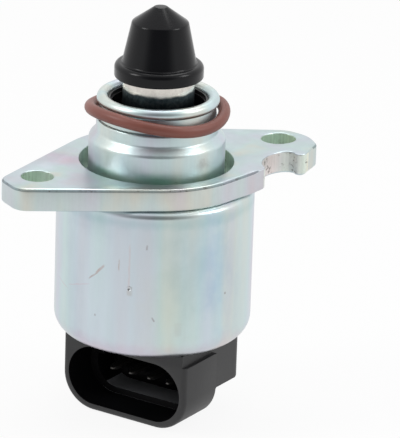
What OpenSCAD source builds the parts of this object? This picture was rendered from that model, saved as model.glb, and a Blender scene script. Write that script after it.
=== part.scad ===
// Idle air control valve: a linear stepper motor in a drawn can, with a conical
// pintle that opens and closes an air seat. The origin lies on the valve's axis at
// the face of the flange that bolts to the manifold. +Z runs towards the pintle,
// and the mouth of the electrical socket faces -Y. The pintle is near the outer end
// of its travel.

/* [Mounting flange] */
// Thickness of the flange plate
flange_t = 4.1; // [3.5:0.1:4.5]
// Diameter of the round middle of the flange
flange_disc_d = 34.2; // [34:0.1:36]
// Gap between the rounded foot of the nose and the flange's hole
flange_hole_gap = 0.1; // [0.05:0.05:0.3]
// Distance between the two screw holes
screw_span = 48.6; // [47:0.2:52]
// How far the middle of the two screw holes lies from the valve's axis
screw_shift = 1.0; // [0:0.1:1.5]
// How far the line of the screw holes passes beside the valve's axis
screw_offset = 0.6; // [0:0.1:1]
// Diameter of the screw hole in the square ear
near_hole_d = 5.7; // [5:0.1:6.2]
// Width of the slotted screw hole in the notched ear
slot_w = 5.7; // [5:0.1:6.2]
// Length of that slot
slot_l = 6.3; // [6:0.1:7.2]
// Angle from the socket's cross direction to the line of the screw holes
screw_line_a = 63; // [50:0.5:75]
// Reach of the square ear past its screw hole
near_ear_reach = 6.4; // [6:0.1:7]
// Corner radius of the square ear
near_ear_r = 3.2; // [2.5:0.1:3.8]
// Radius of the notched ear round its screw hole
far_ear_r = 5.2; // [5:0.1:6]
// Radius of the clearance notch in the notched ear
notch_r = 6.9; // [6:0.1:7.5]

/* [Motor can] */
// Outside diameter of the can
can_d = 35; // [34.5:0.1:36.5]
// Wall of the can
can_wall = 0.8; // [0.6:0.05:1]
// Length of the can under the flange
can_len = 27.8; // [27:0.1:30]
// Outside radius where the can's wall turns into its floor
can_floor_r = 3.8; // [3:0.1:4.2]
// Outside radius of the can's rolled top edge
can_top_r = 1.2; // [0.9:0.05:1.5]
// Width of the lip that is rolled over the nose housing
can_lip = 1.9; // [1.5:0.1:2.2]

/* [Nose housing] */
// Wall of the drawn nose housing
nose_wall = 0.9; // [0.7:0.05:1.1]
// Diameter of the locating spigot above the flange
spigot_d = 24.1; // [23.8:0.1:24.6]
// Height above the flange face where the spigot's straight wall ends
spigot_h = 3.95; // [3.8:0.05:4.3]
// Radius at the foot of the spigot, inside the flange's hole
spigot_foot_r = 1.5; // [1.2:0.05:1.6]
// Radius of the hollow corner between the nose and the sloping shoulder
flare_r = 0.8; // [0.6:0.1:1.2]
// Radius of the round edge between the shoulder and the spigot
shoulder_r = 1.0; // [0.7:0.1:1.2]
// Diameter of the nose
nose_d = 21.6; // [21.3:0.1:22]
// Height of the rim above the flange face
nose_h = 12.3; // [11.8:0.1:13]
// Radius of the rolled bead round the rim
bead_r = 1.0; // [0.9:0.05:1.1]
// Depth of the groove that holds the O-ring
groove_depth = 0.7; // [0.5:0.05:0.8]
// Width of the groove below the bead
groove_w = 2.6; // [2.4:0.1:3]

/* [O-ring] */
// Thickness of the O-ring's section
oring_section = 2.13; // [1.9:0.01:2.3]
// Slack between the O-ring and the floor of its groove
oring_slack = 0.58; // [0.5:0.01:0.7]
// Height of the O-ring's middle above the flange face
oring_z = 9.35; // [9:0.05:9.6]
// Tilt of the O-ring, which hangs askew in its groove
oring_tilt = 2.5; // [0:0.1:3]
// Direction in which the O-ring hangs lowest
oring_low_a = 35; // [0:5:90]

/* [Pintle] */
// Height of the pintle's tip above the flange face
pintle_reach = 28.0; // [27:0.1:29.5]
// Diameter of the flat tip
tip_d = 2.3; // [1.8:0.1:3]
// Height of the blunt cone at the tip
cone_h = 2.8; // [2.8:0.1:3.5]
// Diameter where the blunt cone meets the long taper
cone_d = 10.0; // [9.5:0.1:10.5]
// Height of the long taper
taper_h = 7.3; // [7:0.1:8.5]
// Diameter at the foot of the long taper
taper_d = 13.1; // [13:0.1:14]
// Thickness of the pintle's base flange
base_t = 2.6; // [2.2:0.05:2.9]
// Diameter of the pintle's base flange
base_d = 15.7; // [15.5:0.1:16.2]
// Edge radius of the pintle's base flange
base_edge_r = 0.95; // [0.7:0.05:1.1]
// Outside diameter of the metal sleeve under the pintle
sleeve_d = 12.6; // [12.2:0.1:12.8]
// Wall of the sleeve
sleeve_wall = 0.45; // [0.35:0.05:0.6]
// Length of the sleeve
sleeve_len = 12; // [11.5:0.1:12.5]
// How far the pintle draws in from the position shown
travel_in = 8; // [7:0.1:8.2]

/* [Lead screw and spring] */
// Outside diameter of the lead screw
screw_d = 3.9; // [3.5:0.1:4.2]
// Length of the lead screw
screw_len = 40; // [38:0.5:42]
// Depth of the flat along the lead screw, which stops it turning
screw_flat = 0.45; // [0.3:0.05:0.6]
// Diameter of the knurled head moulded into the pintle
screw_head_d = 5.2; // [5:0.1:6]
// Wire diameter of the pintle's spring
wire_d = 0.8; // [0.6:0.05:0.9]
// Mean diameter of the pintle's spring
coil_d = 9.4; // [8.8:0.1:10]
// Turns of the pintle's spring
coil_turns = 7; // [6:1:8]

/* [Bearings] */
// Outside diameter of the front ball bearing
bearing_d = 13; // [12.6:0.1:13.4]
// Width of the front ball bearing
bearing_w = 3.5; // [3.3:0.1:3.8]
// Bore of the front ball bearing, which is the rotor's journal diameter
journal_d = 5.8; // [5.6:0.1:6]
// Diameter of the bearing's balls
ball_d = 1.8; // [1.6:0.05:1.9]
// Number of balls
ball_count = 9; // [7:1:10]
// Outside diameter of the rear bush
bush_d = 9.2; // [8.6:0.1:9.8]

/* [Rotor] */
// Outside diameter of the rotor's ring magnet
rotor_d = 14.4; // [14:0.1:14.7]
// Bore of the ring magnet
magnet_bore_d = 8.4; // [8:0.1:9]
// Outside diameter of the drive nut moulded into the hub
nut_d = 6.4; // [6:0.1:6.8]
// Length of the drive nut
nut_len = 9; // [8:0.1:10]

/* [Stators] */
// Thickness of the pressed stator plates
plate_t = 0.9; // [0.7:0.05:1.1]
// Inside diameter of the ring of claw poles
claw_id = 15.2; // [15:0.1:15.6]
// Thickness of a claw pole
claw_t = 0.8; // [0.6:0.05:0.9]
// Claw poles on each plate
claw_count = 6; // [4:1:8]
// Width of a claw pole at its root
claw_root_w = 3.6; // [3:0.1:4]
// Width of a claw pole at its tip
claw_tip_w = 1.6; // [1.2:0.1:2]
// Wall of the coil bobbins
bobbin_wall = 0.8; // [0.6:0.05:1]
// Depth from the bobbin's rim down to the winding
wind_drop = 0.6; // [0.4:0.05:1]

/* [Connector] */
// Width of the connector's shroud
shroud_w = 26.2; // [25.8:0.1:27]
// Height of the shroud
shroud_h = 12.7; // [12.4:0.1:13.2]
// Depth of the shroud from its mouth to the rear block
shroud_depth = 10; // [10:0.1:11.5]
// Distance from the valve's axis to the plane of the mouth
mouth_y = 8.6; // [8:0.1:9.2]
// Height of the neck between the can and the shroud
neck_h = 2.2; // [1.8:0.1:2.6]
// How far the neck's far side is set back from the shroud
neck_inset = 0.8; // [0.4:0.1:1]
// Wall round the mouth
mouth_wall = 1.25; // [1.1:0.05:1.4]
// Height of the mouth
mouth_h = 10.9; // [10.4:0.1:11.2]
// Depth of the mouth down to the step that the seal lands on
mouth_depth = 7; // [6:0.1:7.5]
// Depth of the socket down to its back wall
socket_depth = 12; // [11.5:0.1:13]
// Width of the keyed cavity across its rounded side
key_w = 20.7; // [20.4:0.1:21.5]
// Width of the keyed cavity across its square side
key_narrow_w = 17.8; // [17.2:0.1:18.4]
// Corner radius of the keyed cavity's rounded side
key_r = 4.2; // [3.5:0.1:4.5]
// Drop of the rear block below the neck
block_drop = 7.2; // [6.8:0.1:8]
// Depth of the whole connector from the mouth to its back
connector_depth = 19.5; // [18.5:0.1:20.5]
// Radius of the rear block's edges
block_r = 2.2; // [2:0.1:3]
// Distance between neighbouring terminals
pin_pitch = 4; // [3.8:0.1:4.2]
// Number of terminals
pin_count = 4; // [4:1:4]
// Width of a terminal's blade
pin_w = 1.5; // [1.2:0.1:1.6]
// Thickness of a terminal's blade
pin_t = 0.8; // [0.6:0.1:0.9]
// Length of the blade inside the socket
pin_reach = 7; // [6:0.1:7.5]

/* [Hidden] */
$fn = 96;
// Overshoot of a cut past the face it leaves
cut = 1;

// Radii
can_r = can_d / 2;
can_in_r = can_r - can_wall;
spigot_r = spigot_d / 2;
flange_hole_d = spigot_d + 2 * (spigot_foot_r + flange_hole_gap);
nose_r = nose_d / 2;
groove_r = nose_r - groove_depth;
bead_mid_r = nose_r - bead_r;
rim_open_r = bead_mid_r - bead_r;
flange_disc_r = flange_disc_d / 2;
base_r = base_d / 2;
sleeve_r = sleeve_d / 2;
sleeve_in_r = sleeve_r - sleeve_wall;
screw_r = screw_d / 2;
journal_r = journal_d / 2;
bearing_r = bearing_d / 2;
rotor_r = rotor_d / 2;
magnet_in_r = magnet_bore_d / 2;
claw_in_r = claw_id / 2;
claw_out_r = claw_in_r + claw_t;

// Clearances
slide_gap = 0.09;
screw_gap = 0.05;
bore_gap = 0.3;
bush_gap = 0.06;
can_gap = 0.1;
ball_gap = 0.05;
retract_gap = 1;
air_gap = 0.4;

// Levels along the valve's axis
can_top_z = -flange_t;
can_floor_z = can_top_z - can_len;
floor_in_z = can_floor_z + can_wall;
joggle_z = can_top_z - can_wall;
front_plate_z = joggle_z - nose_wall;
stack_top_z = front_plate_z - plate_t;
rear_plate_t = 2.6;
stack_end_z = floor_in_z + rear_plate_t;
stack_mid_z = (stack_top_z + stack_end_z) / 2;
boss_rise = 0.6;
boss_top_z = front_plate_z + boss_rise;
key_plate_t = 1;
bearing_top_z = boss_top_z - key_plate_t;
bearing_end_z = bearing_top_z - bearing_w;
boss_lip = 0.6;
boss_end_z = bearing_end_z - boss_lip;
rotor_top_z = boss_end_z - air_gap;
bush_stand = 0.6;
bush_top_z = stack_end_z + bush_stand;
washer_t = 0.4;
washer_play = 0.2;
rotor_end_z = bush_top_z + washer_t + washer_play;
base_z = pintle_reach - cone_h - taper_h - base_t;
guide_floor_z = base_z - travel_in - retract_gap;
seat_depth = 2.5;
spring_top_z = base_z - seat_depth;
head_h = 4;
screw_top_z = base_z + head_h + 0.5;

// Mounting flange, with x along the line of the screw holes
near_x = screw_shift - screw_span / 2;
far_x = screw_shift + screw_span / 2;
near_end_x = near_x - near_ear_reach;
far_corner = [far_x + 3.1, -4.2, 2];
far_shoulder = [far_x - 2, -6.9, 3.1];
notch_mid = [far_x - 3.3, -13.5];
notch_wall_x = far_x - 1.4;
FLANGE_BELT = [
    [far_x, 0, far_ear_r],
    [0, 0, flange_disc_r],
    [near_end_x + near_ear_r, 0.3, near_ear_r],
    [near_end_x + near_ear_r, -2.6, near_ear_r],
    [0, 0, flange_disc_r],
    far_shoulder,
    far_corner];

// Connector, with y = 0 on the valve's axis and the mouth on the -Y side
half_w = shroud_w / 2;
shroud_top_z = can_floor_z - neck_h;
shroud_end_z = shroud_top_z - shroud_h;
mouth_r = mouth_h / 2;
socket_z = shroud_end_z + mouth_wall + mouth_r;
mouth_plane_y = -mouth_y;
step_y = mouth_plane_y + mouth_depth;
back_wall_y = mouth_plane_y + socket_depth;
shroud_back_y = mouth_plane_y + shroud_depth;
connector_back_y = mouth_plane_y + connector_depth;
block_end_z = shroud_top_z - block_drop;
key_wall = 1.2;
key_floor_z = socket_z - 4.3;
key_ledge_z = socket_z + 1.4;
key_roof_z = socket_z + mouth_r - 0.35;
pin_z = socket_z;
leg_y = back_wall_y + 3;
leg_top_z = stack_end_z - 0.5;
pin_pocket = 1.9;
pin_pocket_depth = 0.8;
collar_w = 2 * (pin_pitch * 1.5 + 2.1);
collar_h = 4.2;

// Point where the outer tangent of two circles leaves circle a on its way to b,
// and the point where it arrives at b. Each circle is [x, y, radius].
function tangent_a(a, b) =
    let (d = [b.x - a.x, b.y - a.y], h = acos((a.z - b.z) / norm(d)), n = atan2(d.y, d.x) - h)
    [cos(n), sin(n)];
// The straight sides dip a little into the arcs, so that no sliver is left between them.
dip = 0.003;
function belt(c) = [for (i = [0:len(c) - 1])
    let (a = c[i], b = c[(i + 1) % len(c)], n = tangent_a(a, b), r = a.z - dip, q = b.z - dip)
    each [[a.x + r * n.x, a.y + r * n.y], [b.x + q * n.x, b.y + q * n.y]]];

// Square-cornered piece with a hollow quarter circle, used to round an outside
// corner or to fill an inside one. It reaches from the corner along +x and +y.
module quarter(r) {
    difference() {
        translate([-0.01, -0.01]) square(r + 0.01);
        translate([r, r]) circle(r);
    }
}

// Rectangle between two corners of a turned section
module block2(a, b) {
    translate([min(a.x, b.x), min(a.y, b.y)]) square([abs(b.x - a.x), abs(b.y - a.y)]);
}

// Ring between two radii and two levels
module ring(r_out, r_in, z0, z1) {
    rotate_extrude() block2([r_in, z0], [r_out, z1]);
}

// Plate with its screw holes and notch, x along the line of the holes
module ears() {
    difference() {
        union() {
            polygon(belt(FLANGE_BELT));
            for (c = FLANGE_BELT) translate([c.x, c.y]) circle(c.z);
        }
        translate([near_x, 0]) circle(d = near_hole_d);
        for (x = [slot_w - slot_l, slot_l - slot_w]) translate([far_x + x / 2, 0]) circle(d = slot_w);
        translate([far_x, 0]) square([slot_l - slot_w, slot_w], center = true);
        intersection() {
            translate(notch_mid) circle(notch_r);
            translate([notch_wall_x - 4 * notch_r, -4 * notch_r]) square(4 * notch_r);
        }
    }
}

module mounting_flange() {
    color("lightsteelblue")
    rotate(screw_line_a)
    translate([0, 0, -flange_t])
    linear_extrude(flange_t)
    difference() {
        translate([0, screw_offset]) ears();
        circle(d = flange_hole_d);
    }
}

module motor_can() {
    floor_in_r = can_floor_r - can_wall;
    color("lightsteelblue")
    difference() {
        rotate_extrude() difference() {
            block2([0, can_floor_z], [can_r, can_top_z]);
            translate([can_r, can_top_z]) rotate(180) quarter(can_top_r);
            translate([can_r, can_floor_z]) rotate(90) quarter(can_floor_r);
            difference() {
                block2([-cut, floor_in_z], [can_in_r, joggle_z]);
                translate([can_in_r, floor_in_z]) rotate(90) quarter(floor_in_r);
            }
            block2([-cut, joggle_z - cut], [can_r - can_wall - can_lip + can_wall, can_top_z + cut]);
        }
        // Window in the floor for the terminals
        translate([-collar_w / 2, leg_y - collar_h / 2, can_floor_z - cut])
        cube([collar_w, collar_h, can_wall + 2 * cut]);
    }
}

// Shoulder of the nose: a round edge, a 45 degree slope and a hollow corner
slope_in = [spigot_r - shoulder_r * (1 - sin(45)), spigot_h + shoulder_r * sin(45)];
slope_run = spigot_r - nose_r - (shoulder_r + flare_r) * (1 - sin(45));
slope_top = [slope_in.x - slope_run, slope_in.y + slope_run];
flare_top_z = slope_top.y + flare_r * sin(45);
module shoulder_section() {
    lean = nose_wall * sqrt(2);
    difference() {
        union() {
            polygon([
                [spigot_r - nose_wall, spigot_h - 0.01], [spigot_r - shoulder_r / 2, spigot_h - 0.01],
                slope_in, slope_top, [nose_r, flare_top_z], [nose_r - nose_wall, flare_top_z],
                [nose_r - nose_wall, flare_top_z - lean], [spigot_r - nose_wall, spigot_h]]);
            intersection() {
                translate([spigot_r - shoulder_r, spigot_h]) circle(shoulder_r);
                block2([spigot_r - nose_wall, spigot_h - 0.01], [spigot_r + cut, spigot_h + shoulder_r]);
            }
        }
        translate([nose_r + flare_r, flare_top_z]) circle(flare_r);
    }
}

module nose_housing() {
    disc_r = can_r - can_lip;
    groove_top_z = nose_h - 2 * bead_r + 0.15;
    groove_end_z = groove_top_z - groove_w;
    color("lightsteelblue")
    rotate_extrude() difference() {
        union() {
            // Joggled edge held by the can's lip
            block2([disc_r - nose_wall - 0.1, front_plate_z], [can_in_r - can_gap, joggle_z]);
            block2([spigot_r - nose_wall, can_top_z - nose_wall], [disc_r - 0.1, can_top_z]);
            block2([disc_r - nose_wall - 0.1, front_plate_z], [disc_r - 0.1, can_top_z]);
            translate([spigot_r - 0.01, can_top_z - 0.01]) quarter(spigot_foot_r);
            // Spigot, shoulder and nose
            block2([spigot_r - nose_wall, can_top_z - nose_wall], [spigot_r, spigot_h]);
            shoulder_section();
            block2([nose_r - nose_wall, slope_top.y], [nose_r, groove_end_z]);
            // Groove and rolled rim
            block2([groove_r - nose_wall, groove_end_z - nose_wall], [nose_r, groove_end_z]);
            block2([groove_r - nose_wall, groove_end_z - nose_wall], [groove_r, nose_h - bead_r]);
            translate([bead_mid_r, nose_h - bead_r]) circle(bead_r);
        }
        translate([spigot_r - nose_wall, can_top_z - nose_wall]) quarter(spigot_foot_r - 0.2);
    }
}

module o_ring() {
    color("sienna")
    translate([0, 0, oring_z])
    rotate([0, oring_tilt, oring_low_a])
    rotate_extrude()
    translate([groove_r + oring_slack + oring_section / 2, 0]) circle(d = oring_section);
}

module nose_guide() {
    bore_r = sleeve_r + slide_gap;
    pocket_r = base_r + bore_gap;
    tube_r = bore_r + 1.5;
    rim_r = rim_open_r - 0.05;
    neck_r = groove_r - nose_wall - can_gap;
    foot_r = spigot_r - nose_wall - can_gap;
    foot_t = 1.5;
    foot_z = can_top_z + 0.7;
    rim_z = nose_h - bead_r;
    color("dimgray")
    union() {
        rotate_extrude() difference() {
            union() {
                block2([bore_r, boss_top_z], [tube_r, guide_floor_z]);
                block2([bore_r, foot_z], [foot_r, foot_z + foot_t]);
                block2([bore_r, guide_floor_z - 0.9], [neck_r, guide_floor_z]);
                block2([pocket_r, guide_floor_z - 0.9], [neck_r, nose_h - 2 * bead_r - 0.1]);
                block2([pocket_r, guide_floor_z], [rim_r, rim_z]);
            }
            // Step just inside the guide's top edge
            block2([pocket_r - cut, rim_z - 0.7], [pocket_r + 0.25, rim_z + cut]);
        }
        for (a = [0:60:300]) rotate(a)
            translate([tube_r - 0.2, -0.5, foot_z + foot_t - 0.1])
            cube([nose_r - nose_wall - tube_r - can_gap, 1, guide_floor_z - 0.8 - foot_z - foot_t]);
    }
}

// Threaded rod with its flat and its knurled head, which the pintle is moulded on
module screw_form() {
    difference() {
        translate([0, 0, screw_top_z - screw_len]) cylinder(r = screw_r, h = screw_len);
        translate([screw_r - screw_flat, -screw_r, screw_top_z - screw_len - cut])
        cube([screw_d, screw_d, screw_len - head_h + cut]);
    }
    translate([0, 0, screw_top_z - head_h]) cylinder(d = screw_head_d, h = head_h);
}

module pintle() {
    taper_z = base_z + base_t;
    shoulder_z = taper_z + taper_h;
    color("black")
    difference() {
        rotate_extrude() union() {
            polygon([
                [0, base_z], [taper_d / 2, base_z], [taper_d / 2, taper_z],
                [cone_d / 2, shoulder_z], [tip_d / 2, pintle_reach], [0, pintle_reach]]);
            difference() {
                block2([0, base_z], [base_r, taper_z]);
                translate([base_r, taper_z]) rotate(180) quarter(base_edge_r);
                translate([base_r, base_z]) rotate(90) quarter(base_edge_r / 2);
            }
            // Spigot that the sleeve is pressed on, and the spring's seat
            block2([0, spring_top_z], [sleeve_in_r, base_z + 0.1]);
        }
        screw_form();
    }
}

module pintle_sleeve() {
    color("silver") ring(sleeve_r, sleeve_in_r, base_z - sleeve_len, base_z);
}

module lead_screw() {
    color("gainsboro") screw_form();
}

// Points of one ring of the wire, and the faces that join the rings of a sweep
function wire_ring(a, r, z, w, n) = [for (i = [0:n - 1])
    let (b = 360 * i / n, q = r + w * cos(b)) [q * cos(a), q * sin(a), z + w * sin(b)]];
function sweep_faces(rings, n) = concat(
    [for (k = [0:rings - 2]) for (i = [0:n - 1])
        [k * n + i, (k + 1) * n + i, (k + 1) * n + (i + 1) % n, k * n + (i + 1) % n]],
    [[for (i = [0:n - 1]) i]],
    [[for (i = [n - 1:-1:0]) (rings - 1) * n + i]]);

module pintle_spring() {
    sides = 8;
    per_turn = 18;
    steps = coil_turns * per_turn;
    low = boss_top_z + wire_d / 2;
    high = spring_top_z - wire_d / 2;
    // Closed first and last turns: the wire climbs only between them
    function rise(t) = let (e = 1 / coil_turns) min(1, max(0, (t - 0.7 * e) / (1 - 1.4 * e)));
    rings = [for (k = [0:steps])
        let (t = k / steps)
        wire_ring(360 * coil_turns * t, coil_d / 2, low + (high - low) * rise(t), wire_d / 2, sides)];
    color("lightgray")
    polyhedron(points = [for (p = rings) each p], faces = sweep_faces(steps + 1, sides));
}

module key_plate() {
    hole_r = screw_r + slide_gap;
    color("silver")
    translate([0, 0, boss_top_z - key_plate_t])
    linear_extrude(key_plate_t)
    difference() {
        circle(bearing_r);
        difference() {
            circle(hole_r);
            translate([screw_r - screw_flat + slide_gap, -screw_d]) square(2 * screw_d);
        }
    }
}

module front_end_plate() {
    boss_wall = 1;
    color("lightgray")
    union() {
        ring(can_in_r - can_gap, bearing_r, stack_top_z, front_plate_z);
        ring(bearing_r + boss_wall, bearing_r, boss_end_z, boss_top_z);
        ring(bearing_r + boss_wall, bearing_r - boss_lip, boss_end_z, bearing_end_z);
    }
}

// Section of a bearing ring with its raceway
ball_mid_r = (bearing_r + journal_r) / 2 - 0.1;
ball_mid_z = bearing_top_z - bearing_w / 2;
module race_section(r_in, r_out) {
    rotate_extrude() difference() {
        block2([r_in, bearing_end_z], [r_out, bearing_top_z]);
        translate([ball_mid_r, ball_mid_z]) circle(ball_d / 2 + ball_gap);
    }
}

module bearing_outer_ring() {
    color("silver") race_section(ball_mid_r + 0.36 * ball_d, bearing_r);
}

module bearing_inner_ring() {
    color("silver") race_section(journal_r, ball_mid_r - 0.36 * ball_d);
}

module bearing_balls() {
    color("gainsboro")
    for (i = [0:ball_count - 1]) rotate(360 * i / ball_count)
        translate([ball_mid_r, 0, ball_mid_z]) sphere(d = ball_d);
}

module bearing_cage() {
    half_h = 0.5 * ball_d + 0.4;
    color("goldenrod")
    difference() {
        ring(ball_mid_r + 0.3, ball_mid_r - 0.3, ball_mid_z - half_h, ball_mid_z + half_h);
        for (i = [0:ball_count - 1]) rotate(360 * i / ball_count)
            translate([ball_mid_r - cut, 0, ball_mid_z]) rotate([0, 90, 0])
            cylinder(r = ball_d / 2 + ball_gap, h = 2 * cut);
    }
}

module rotor_magnet() {
    chamfer = 0.3;
    color("dimgray")
    rotate_extrude() difference() {
        block2([magnet_in_r, rotor_end_z], [rotor_r, rotor_top_z]);
        for (z = [rotor_end_z, rotor_top_z])
            translate([rotor_r, z]) rotate(45) square(chamfer * sqrt(2), center = true);
    }
}

nut_top_z = rotor_top_z - 1.5;
module rotor_hub() {
    color("ivory")
    rotate_extrude() difference() {
        union() {
            block2([0, rotor_end_z], [magnet_in_r, rotor_top_z]);
            block2([0, rotor_top_z], [journal_r + 0.6, bearing_end_z]);
            block2([0, bearing_end_z - cut], [journal_r, bearing_top_z]);
            block2([0, floor_in_z + air_gap], [journal_r, rotor_end_z + cut]);
        }
        block2([-cut, floor_in_z], [screw_r + bore_gap, bearing_top_z + cut]);
        block2([-cut, nut_top_z - nut_len], [nut_d / 2, nut_top_z]);
    }
}

module drive_nut() {
    color("goldenrod") ring(nut_d / 2, screw_r + screw_gap, nut_top_z - nut_len, nut_top_z);
}

module thrust_washer() {
    color("silver") ring(bush_d / 2, journal_r + 0.15, bush_top_z, bush_top_z + washer_t);
}

module rear_bush() {
    color("peru") ring(bush_d / 2, journal_r + bush_gap, floor_in_z, bush_top_z);
}

module rear_end_plate() {
    edge_r = can_floor_r - can_wall + 0.1;
    color("ivory")
    difference() {
        rotate_extrude() difference() {
            block2([bush_d / 2, floor_in_z], [can_in_r - can_gap, stack_end_z]);
            translate([can_in_r - can_gap, floor_in_z]) rotate(90) quarter(edge_r);
        }
        for (i = [1:pin_count]) terminal_leg(i);
    }
}

// Plate with a ring of tapered claw poles that point up (+1) or down (-1)
module claw_plate(z0, up, turn) {
    claw_h = stack_top_z - stack_mid_z - 2 * plate_t - plate_t;
    root_z = up > 0 ? z0 + plate_t : z0;
    ring(can_in_r - can_gap, claw_in_r, z0, z0 + plate_t);
    intersection() {
        translate([0, 0, root_z]) mirror([0, 0, up > 0 ? 0 : 1])
        rotate_extrude() block2([claw_in_r, -plate_t / 2], [claw_out_r, claw_h]);
        for (i = [0:claw_count - 1])
            rotate(turn + 360 * i / claw_count)
            translate([claw_in_r - cut, 0, root_z])
            mirror([0, 0, up > 0 ? 0 : 1])
            rotate([90, 0, 90])
            linear_extrude(claw_t + 2 * cut)
            polygon([
                [-claw_root_w / 2, -plate_t], [claw_root_w / 2, -plate_t],
                [claw_tip_w / 2, claw_h + cut], [-claw_tip_w / 2, claw_h + cut]]);
    }
}

claw_step = 180 / claw_count;
module stator_cup_front() {
    color("silver") union() {
        claw_plate(stack_top_z - plate_t, -1, 0);
        ring(can_in_r - can_gap, can_in_r - can_gap - plate_t, stack_mid_z + plate_t, stack_top_z);
    }
}

module stator_plate_front() {
    color("silver") claw_plate(stack_mid_z, 1, claw_step);
}

module stator_plate_rear() {
    color("silver") claw_plate(stack_mid_z - plate_t, -1, claw_step / 2);
}

module stator_cup_rear() {
    color("silver") union() {
        claw_plate(stack_end_z, 1, 1.5 * claw_step);
        ring(can_in_r - can_gap, can_in_r - can_gap - plate_t, stack_end_z, stack_mid_z - plate_t);
    }
}

bobbin_in_r = claw_out_r + 0.05;
bobbin_out_r = can_in_r - can_gap - plate_t - 0.1;
bobbin_top_z = stack_top_z - plate_t;
bobbin_h = stack_top_z - stack_mid_z - 2 * plate_t;

module bobbin(z1) {
    color("ivory")
    rotate_extrude() difference() {
        block2([bobbin_in_r, z1 - bobbin_h], [bobbin_out_r, z1]);
        block2([bobbin_in_r + bobbin_wall, z1 - bobbin_h + bobbin_wall],
               [bobbin_out_r + cut, z1 - bobbin_wall]);
    }
}

module winding(z1) {
    color("chocolate")
    ring(bobbin_out_r - wind_drop, bobbin_in_r + bobbin_wall,
         z1 - bobbin_h + bobbin_wall, z1 - bobbin_wall);
}

module bobbin_front() { bobbin(bobbin_top_z); }
module bobbin_rear() { bobbin(stack_mid_z - plate_t); }
module winding_front() { winding(bobbin_top_z); }
module winding_rear() { winding(stack_mid_z - plate_t); }

function pin_x(i) = (i - (pin_count + 1) / 2) * pin_pitch;

module terminal_leg(i) {
    translate([pin_x(i) - pin_w / 2, leg_y - pin_t / 2, pin_z - pin_t / 2])
    cube([pin_w, pin_t, leg_top_z - pin_z]);
}

// Bent terminal: a leg down from the coils and a pointed blade in the socket
module terminal(i) {
    tip_y = back_wall_y - pin_reach;
    color("gold")
    union() {
        terminal_leg(i);
        translate([pin_x(i), 0, pin_z - pin_t / 2])
        linear_extrude(pin_t)
        polygon([
            [-pin_w / 2, leg_y + pin_t / 2], [-pin_w / 2, tip_y + 0.9], [-pin_w / 6, tip_y],
            [pin_w / 6, tip_y], [pin_w / 2, tip_y + 0.9], [pin_w / 2, leg_y + pin_t / 2]]);
    }
}

module terminal_1() { terminal(1); }
module terminal_2() { terminal(2); }
module terminal_3() { terminal(3); }
module terminal_4() { terminal(4); }

// Outline in the plane of the mouth, x across and y up, with its lower corners
// rounded as the sealing mouth is and its upper corners square up to the neck
module shroud_outline() {
    r = shroud_h / 2;
    difference() {
        block2([-half_w, shroud_end_z], [half_w, shroud_top_z]);
        translate([-half_w, shroud_end_z]) quarter(r);
        translate([half_w, shroud_end_z]) rotate(90) quarter(r);
    }
}

module stadium(w, r) {
    block2([r - w / 2, -r], [w / 2 - r, r]);
    for (x = [r - w / 2, w / 2 - r]) translate([x, 0]) circle(r);
}

// Wide part of the keyed cavity, grown by a wall
module key_wide(wall) {
    half = key_w / 2 + wall;
    low = key_floor_z - wall;
    difference() {
        block2([-half, low], [half, key_ledge_z]);
        translate([-half, low]) quarter(key_r + wall);
        translate([half, low]) rotate(90) quarter(key_r + wall);
    }
}

// Keyed cavity: wide with rounded corners below, narrower and square above
module key_outline() {
    key_wide(0);
    block2([-key_narrow_w / 2, key_ledge_z - cut], [key_narrow_w / 2, key_roof_z]);
}

// Stands an outline drawn in x and z up between two depths along y
module upright(y0, y1) {
    translate([0, y1, 0]) rotate([90, 0, 0]) linear_extrude(y1 - y0) children();
}

module block_outline() {
    difference() {
        block2([mouth_plane_y, block_end_z], [connector_back_y, can_floor_z]);
        translate([connector_back_y, block_end_z]) rotate(90) quarter(block_r);
    }
}

module connector_body() {
    neck_x = half_w - neck_inset;
    corner = block_r;
    color("dimgray")
    difference() {
        union() {
            upright(mouth_plane_y, shroud_back_y) shroud_outline();
            // Neck under the can and the block behind the socket
            intersection() {
                translate([-half_w, 0, 0]) rotate([90, 0, 90])
                linear_extrude(half_w + neck_x) block_outline();
                translate([0, 0, block_end_z - cut])
                linear_extrude(can_floor_z - block_end_z + cut)
                difference() {
                    block2([-half_w, mouth_plane_y], [neck_x, connector_back_y]);
                    translate([-half_w, connector_back_y]) rotate(-90) quarter(corner);
                    translate([neck_x, connector_back_y]) rotate(180) quarter(corner);
                }
                union() {
                    translate([-half_w, mouth_plane_y, shroud_top_z - 0.01])
                    cube([shroud_w, connector_depth, neck_h + 0.01]);
                    translate([-half_w, shroud_back_y - 0.01, block_end_z])
                    cube([shroud_w, connector_depth, block_drop + neck_h]);
                }
            }
            // Back of the keyed cavity, behind the shroud
            upright(shroud_back_y - 0.01, back_wall_y + key_wall) key_wide(key_wall);
            // Collar that fills the window in the can's floor
            translate([-collar_w / 2 + 0.05, leg_y - collar_h / 2 + 0.05, can_floor_z - 0.01])
            cube([collar_w - 0.1, collar_h - 0.1, can_wall + 0.01]);
        }
        upright(mouth_plane_y - cut, step_y) translate([0, socket_z]) stadium(2 * (half_w - mouth_wall), mouth_r);
        upright(step_y - cut, back_wall_y) key_outline();
        for (i = [1:pin_count]) {
            translate([pin_x(i) - pin_pocket / 2, back_wall_y - 0.01, pin_z - pin_pocket / 2])
            cube([pin_pocket, pin_pocket_depth + 0.01, pin_pocket]);
            terminal(i);
        }
    }
}

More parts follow.
